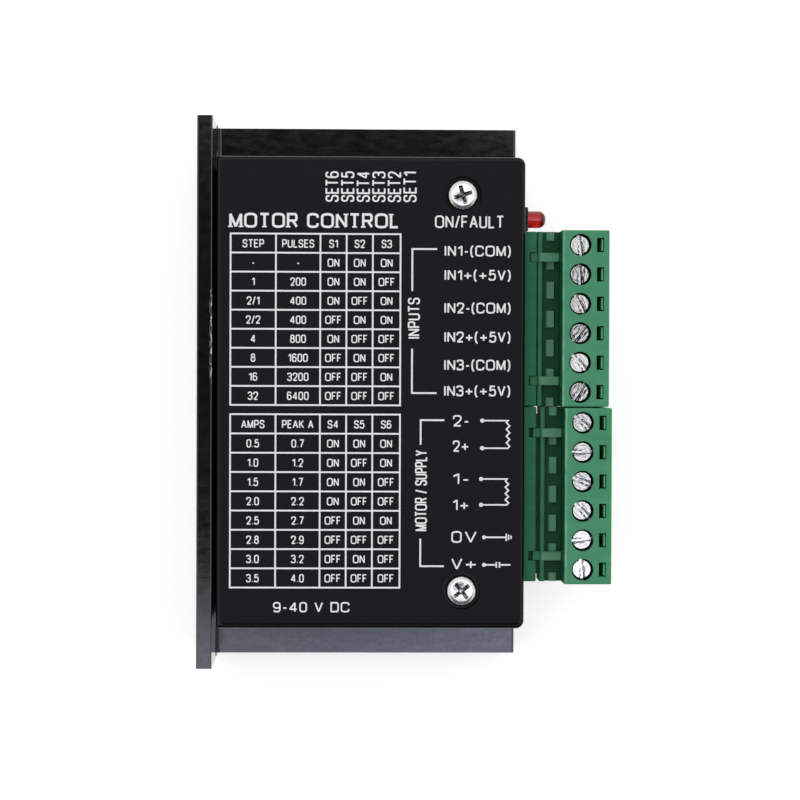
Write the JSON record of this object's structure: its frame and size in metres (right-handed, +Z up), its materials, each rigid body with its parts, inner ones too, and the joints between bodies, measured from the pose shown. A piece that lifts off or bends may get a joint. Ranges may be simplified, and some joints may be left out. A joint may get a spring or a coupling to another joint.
{
  "type": "stepper driver module",
  "caption": "Stepper motor driver: black finned L-shaped heatsink, moulded cover with printed label, slide switches, indicator lamp and green pluggable screw terminals.",
  "frame": {"origin": "middle of the module, between the flange face and the plug faces, on the plane of the fin tips", "axes": "+X from the mounting flange to the plugs, +Y to the end with the switches, +Z up to the label"},
  "size_m": [0.0718, 0.096, 0.0365],
  "materials": {
    "anodised_black": "black anodised, fine satin grain",
    "black_plastic": "fine moulded texture",
    "label_film": "matt printed film",
    "nickel_screw": "bright nickel plate",
    "green_header": "satin moulded",
    "green_plug": "satin moulded",
    "tinned_pins": "tinned",
    "plated_cage": "nickel plated",
    "brass_standoff": "machined",
    "board_laminate": "solder mask",
    "switch_body": "moulded red",
    "slider_white": "moulded white",
    "red_lens": "translucent moulded",
    "silicone_pad": "soft silicone",
    "can_aluminium": "drawn can",
    "chip_epoxy": "moulded epoxy"
  },
  "bodies": {
    "module": {"board_screws": "nickel_screw", "capacitors": "can_aluminium", "circuit_board": "board_laminate", "cover": "black_plastic", "cover_screws": "nickel_screw", "dip_switch_body": "switch_body", "dip_switch_terminals": "tinned_pins", "driver_chip": "chip_epoxy", "driver_chip_leads": "tinned_pins", "driver_chip_screws": "nickel_screw", "heatsink": "anodised_black", "label": "label_film", "led_holder": "black_plastic", "led_leads": "tinned_pins", "led_lens": "red_lens", "logic_chip": "chip_epoxy", "lower_standoffs": "brass_standoff", "optocouplers": "chip_epoxy", "power_header": "green_header", "power_header_pins": "tinned_pins", "regulator": "chip_epoxy", "sense_resistors": "chip_epoxy", "signal_header": "green_header", "signal_header_pins": "tinned_pins", "thermal_pad": "silicone_pad", "upper_standoffs": "brass_standoff"},
    "signal_plug": {"signal_plug": "green_plug", "signal_plug_contacts": "tinned_pins"},
    "terminal_screw_1": {"terminal_screw_1": "nickel_screw"},
    "clamp_cage_1": {"clamp_cage_1": "plated_cage"},
    "terminal_screw_2": {"terminal_screw_2": "nickel_screw"},
    "clamp_cage_2": {"clamp_cage_2": "plated_cage"},
    "terminal_screw_3": {"terminal_screw_3": "nickel_screw"},
    "clamp_cage_3": {"clamp_cage_3": "plated_cage"},
    "terminal_screw_4": {"terminal_screw_4": "nickel_screw"},
    "clamp_cage_4": {"clamp_cage_4": "plated_cage"},
    "terminal_screw_5": {"terminal_screw_5": "nickel_screw"},
    "clamp_cage_5": {"clamp_cage_5": "plated_cage"},
    "terminal_screw_6": {"terminal_screw_6": "nickel_screw"},
    "clamp_cage_6": {"clamp_cage_6": "plated_cage"},
    "power_plug": {"power_plug": "green_plug", "power_plug_contacts": "tinned_pins"},
    "terminal_screw_7": {"terminal_screw_7": "nickel_screw"},
    "clamp_cage_7": {"clamp_cage_7": "plated_cage"},
    "terminal_screw_8": {"terminal_screw_8": "nickel_screw"},
    "clamp_cage_8": {"clamp_cage_8": "plated_cage"},
    "terminal_screw_9": {"terminal_screw_9": "nickel_screw"},
    "clamp_cage_9": {"clamp_cage_9": "plated_cage"},
    "terminal_screw_10": {"terminal_screw_10": "nickel_screw"},
    "clamp_cage_10": {"clamp_cage_10": "plated_cage"},
    "terminal_screw_11": {"terminal_screw_11": "nickel_screw"},
    "clamp_cage_11": {"clamp_cage_11": "plated_cage"},
    "terminal_screw_12": {"terminal_screw_12": "nickel_screw"},
    "clamp_cage_12": {"clamp_cage_12": "plated_cage"},
    "dip_slider_1": {"dip_slider_1": "slider_white"},
    "dip_slider_2": {"dip_slider_2": "slider_white"},
    "dip_slider_3": {"dip_slider_3": "slider_white"},
    "dip_slider_4": {"dip_slider_4": "slider_white"},
    "dip_slider_5": {"dip_slider_5": "slider_white"},
    "dip_slider_6": {"dip_slider_6": "slider_white"}
  },
  "joints": [
    {"name": "signal_plug_pull", "type": "slide", "parent": "module", "child": "signal_plug", "axis": [1, 0, 0], "range_m": [0, 0.01]},
    {"name": "terminal_screw_1_turn", "type": "hinge", "parent": "signal_plug", "child": "terminal_screw_1", "pos_m": [0.03036, 0.0257, 0.0327], "axis": [0, 0, -1], "range_deg": [0, 1801]},
    {"name": "clamp_cage_1_lift", "type": "slide", "parent": "signal_plug", "child": "clamp_cage_1", "axis": [0, 0, 1], "range_m": [0, 0.0025]},
    {"name": "terminal_screw_2_turn", "type": "hinge", "parent": "signal_plug", "child": "terminal_screw_2", "pos_m": [0.03036, 0.02062, 0.0327], "axis": [0, 0, -1], "range_deg": [0, 1801]},
    {"name": "clamp_cage_2_lift", "type": "slide", "parent": "signal_plug", "child": "clamp_cage_2", "axis": [0, 0, 1], "range_m": [0, 0.0025]},
    {"name": "terminal_screw_3_turn", "type": "hinge", "parent": "signal_plug", "child": "terminal_screw_3", "pos_m": [0.03036, 0.01554, 0.0327], "axis": [0, 0, -1], "range_deg": [0, 1801]},
    {"name": "clamp_cage_3_lift", "type": "slide", "parent": "signal_plug", "child": "clamp_cage_3", "axis": [0, 0, 1], "range_m": [0, 0.0025]},
    {"name": "terminal_screw_4_turn", "type": "hinge", "parent": "signal_plug", "child": "terminal_screw_4", "pos_m": [0.03036, 0.01046, 0.0327], "axis": [0, 0, -1], "range_deg": [0, 1801]},
    {"name": "clamp_cage_4_lift", "type": "slide", "parent": "signal_plug", "child": "clamp_cage_4", "axis": [0, 0, 1], "range_m": [0, 0.0025]},
    {"name": "terminal_screw_5_turn", "type": "hinge", "parent": "signal_plug", "child": "terminal_screw_5", "pos_m": [0.03036, 0.00538, 0.0327], "axis": [0, 0, -1], "range_deg": [0, 1801]},
    {"name": "clamp_cage_5_lift", "type": "slide", "parent": "signal_plug", "child": "clamp_cage_5", "axis": [0, 0, 1], "range_m": [0, 0.0025]},
    {"name": "terminal_screw_6_turn", "type": "hinge", "parent": "signal_plug", "child": "terminal_screw_6", "pos_m": [0.03036, 0.0003, 0.0327], "axis": [0, 0, -1], "range_deg": [0, 1801]},
    {"name": "clamp_cage_6_lift", "type": "slide", "parent": "signal_plug", "child": "clamp_cage_6", "axis": [0, 0, 1], "range_m": [0, 0.0025]},
    {"name": "power_plug_pull", "type": "slide", "parent": "module", "child": "power_plug", "axis": [1, 0, 0], "range_m": [-0.00055, 0.01]},
    {"name": "terminal_screw_7_turn", "type": "hinge", "parent": "power_plug", "child": "terminal_screw_7", "pos_m": [0.0309, -0.005, 0.0327], "axis": [0, 0, -1], "range_deg": [0, 1801]},
    {"name": "clamp_cage_7_lift", "type": "slide", "parent": "power_plug", "child": "clamp_cage_7", "axis": [0, 0, 1], "range_m": [0, 0.0025]},
    {"name": "terminal_screw_8_turn", "type": "hinge", "parent": "power_plug", "child": "terminal_screw_8", "pos_m": [0.0309, -0.01008, 0.0327], "axis": [0, 0, -1], "range_deg": [0, 1801]},
    {"name": "clamp_cage_8_lift", "type": "slide", "parent": "power_plug", "child": "clamp_cage_8", "axis": [0, 0, 1], "range_m": [0, 0.0025]},
    {"name": "terminal_screw_9_turn", "type": "hinge", "parent": "power_plug", "child": "terminal_screw_9", "pos_m": [0.0309, -0.01516, 0.0327], "axis": [0, 0, -1], "range_deg": [0, 1801]},
    {"name": "clamp_cage_9_lift", "type": "slide", "parent": "power_plug", "child": "clamp_cage_9", "axis": [0, 0, 1], "range_m": [0, 0.0025]},
    {"name": "terminal_screw_10_turn", "type": "hinge", "parent": "power_plug", "child": "terminal_screw_10", "pos_m": [0.0309, -0.02024, 0.0327], "axis": [0, 0, -1], "range_deg": [0, 1801]},
    {"name": "clamp_cage_10_lift", "type": "slide", "parent": "power_plug", "child": "clamp_cage_10", "axis": [0, 0, 1], "range_m": [0, 0.0025]},
    {"name": "terminal_screw_11_turn", "type": "hinge", "parent": "power_plug", "child": "terminal_screw_11", "pos_m": [0.0309, -0.02532, 0.0327], "axis": [0, 0, -1], "range_deg": [0, 1801]},
    {"name": "clamp_cage_11_lift", "type": "slide", "parent": "power_plug", "child": "clamp_cage_11", "axis": [0, 0, 1], "range_m": [0, 0.0025]},
    {"name": "terminal_screw_12_turn", "type": "hinge", "parent": "power_plug", "child": "terminal_screw_12", "pos_m": [0.0309, -0.0304, 0.0327], "axis": [0, 0, -1], "range_deg": [0, 1801]},
    {"name": "clamp_cage_12_lift", "type": "slide", "parent": "power_plug", "child": "clamp_cage_12", "axis": [0, 0, 1], "range_m": [0, 0.0025]},
    {"name": "dip_slider_1_slide", "type": "slide", "parent": "module", "child": "dip_slider_1", "axis": [0, 0, 1], "range_m": [0, 0.0018]},
    {"name": "dip_slider_2_slide", "type": "slide", "parent": "module", "child": "dip_slider_2", "axis": [0, 0, 1], "range_m": [0, 0.0018]},
    {"name": "dip_slider_3_slide", "type": "slide", "parent": "module", "child": "dip_slider_3", "axis": [0, 0, 1], "range_m": [0, 0.0018]},
    {"name": "dip_slider_4_slide", "type": "slide", "parent": "module", "child": "dip_slider_4", "axis": [0, 0, 1], "range_m": [0, 0.0018]},
    {"name": "dip_slider_5_slide", "type": "slide", "parent": "module", "child": "dip_slider_5", "axis": [0, 0, 1], "range_m": [0, 0.0018]},
    {"name": "dip_slider_6_slide", "type": "slide", "parent": "module", "child": "dip_slider_6", "axis": [0, 0, 1], "range_m": [0, 0.0018]}
  ],
  "couplings": [
    {"joint": "terminal_screw_1_turn", "follows": "clamp_cage_1_lift", "rad_per_m": 12566},
    {"joint": "terminal_screw_2_turn", "follows": "clamp_cage_2_lift", "rad_per_m": 12566},
    {"joint": "terminal_screw_3_turn", "follows": "clamp_cage_3_lift", "rad_per_m": 12566},
    {"joint": "terminal_screw_4_turn", "follows": "clamp_cage_4_lift", "rad_per_m": 12566},
    {"joint": "terminal_screw_5_turn", "follows": "clamp_cage_5_lift", "rad_per_m": 12566},
    {"joint": "terminal_screw_6_turn", "follows": "clamp_cage_6_lift", "rad_per_m": 12566},
    {"joint": "terminal_screw_7_turn", "follows": "clamp_cage_7_lift", "rad_per_m": 12566},
    {"joint": "terminal_screw_8_turn", "follows": "clamp_cage_8_lift", "rad_per_m": 12566},
    {"joint": "terminal_screw_9_turn", "follows": "clamp_cage_9_lift", "rad_per_m": 12566},
    {"joint": "terminal_screw_10_turn", "follows": "clamp_cage_10_lift", "rad_per_m": 12566},
    {"joint": "terminal_screw_11_turn", "follows": "clamp_cage_11_lift", "rad_per_m": 12566},
    {"joint": "terminal_screw_12_turn", "follows": "clamp_cage_12_lift", "rad_per_m": 12566}
  ]
}
